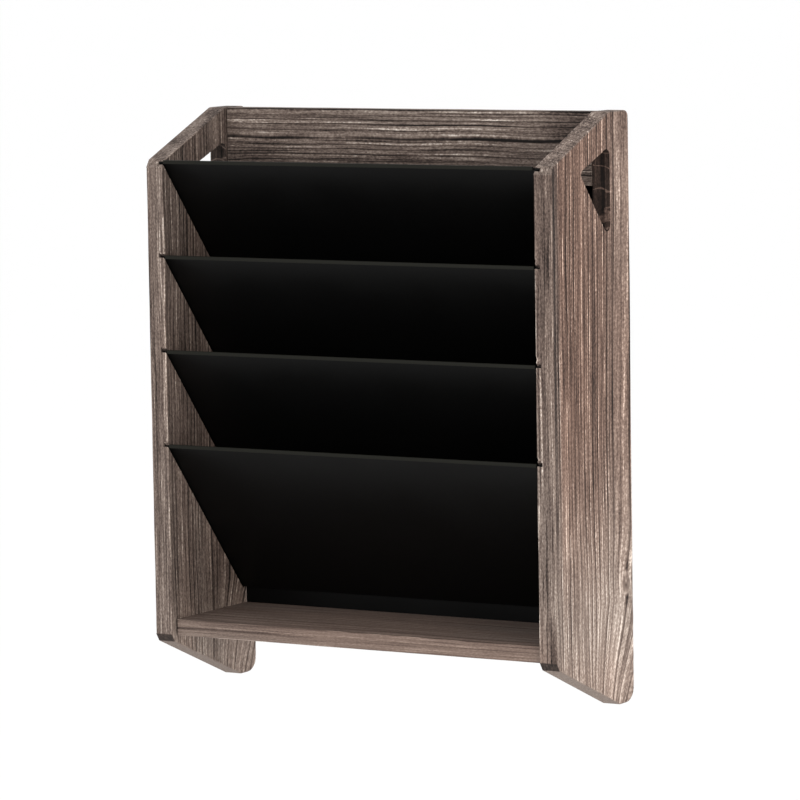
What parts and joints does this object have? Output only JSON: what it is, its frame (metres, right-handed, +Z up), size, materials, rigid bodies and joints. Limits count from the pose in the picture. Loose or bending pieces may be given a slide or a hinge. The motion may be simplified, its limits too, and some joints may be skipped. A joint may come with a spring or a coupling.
{
  "type": "wall paper organizer",
  "caption": "Wall-hung paper organizer of torched wood: side boards with triangular handle holes, a top rail, a low shelf, a dark back sheet and slanted black sheet-metal dividers.",
  "frame": {"origin": "on the wall plane, midway between the two keyholes, at the height where the wall screws carry the load", "axes": "+X to the viewer's right along the width, +Y into the wall, +Z up; the front is towards -Y"},
  "size_m": [0.336, 0.115, 0.4245],
  "materials": {
    "torched_wood": "torched and wire-brushed softwood, matt, with raised grain",
    "dowel_beech": "plain turned beech",
    "satin_black_steel": "satin black powder coat on sheet steel",
    "zinc_plated_steel": "zinc-plated steel, dull",
    "blackened_screw_steel": "black oxide screws"
  },
  "bodies": {
    "frame": {"side_board_left": "torched_wood", "side_board_right": "torched_wood", "top_rail": "torched_wood", "shelf_board": "torched_wood", "back_panel": "satin_black_steel", "rail_dowel_top_left": "dowel_beech", "rail_dowel_low_left": "dowel_beech", "shelf_dowel_front_left": "dowel_beech", "shelf_dowel_back_left": "dowel_beech", "rail_dowel_top_right": "dowel_beech", "rail_dowel_low_right": "dowel_beech", "shelf_dowel_front_right": "dowel_beech", "shelf_dowel_back_right": "dowel_beech", "panel_screw_rail_left": "blackened_screw_steel", "panel_screw_rail_middle": "blackened_screw_steel", "panel_screw_rail_right": "blackened_screw_steel", "panel_screw_shelf_left": "blackened_screw_steel", "panel_screw_shelf_middle": "blackened_screw_steel", "panel_screw_shelf_right": "blackened_screw_steel", "hanger_plate_left": "zinc_plated_steel", "hanger_screw_top_left": "zinc_plated_steel", "hanger_screw_bottom_left": "zinc_plated_steel", "hanger_plate_right": "zinc_plated_steel", "hanger_screw_top_right": "zinc_plated_steel", "hanger_screw_bottom_right": "zinc_plated_steel"},
    "divider_1": {"divider_1": "satin_black_steel"},
    "divider_2": {"divider_2": "satin_black_steel"},
    "divider_3": {"divider_3": "satin_black_steel"},
    "divider_4": {"divider_4": "satin_black_steel"}
  },
  "joints": [
    {"name": "divider_1_slide", "type": "slide", "parent": "frame", "child": "divider_1", "axis": [0, -0.6428, 0.766], "range_m": [0, 0.165]},
    {"name": "divider_2_slide", "type": "slide", "parent": "frame", "child": "divider_2", "axis": [0, -0.6428, 0.766], "range_m": [0, 0.165]},
    {"name": "divider_3_slide", "type": "slide", "parent": "frame", "child": "divider_3", "axis": [0, -0.6428, 0.766], "range_m": [0, 0.165]},
    {"name": "divider_4_slide", "type": "slide", "parent": "frame", "child": "divider_4", "axis": [0, -0.6428, 0.766], "range_m": [0, 0.165]}
  ]
}
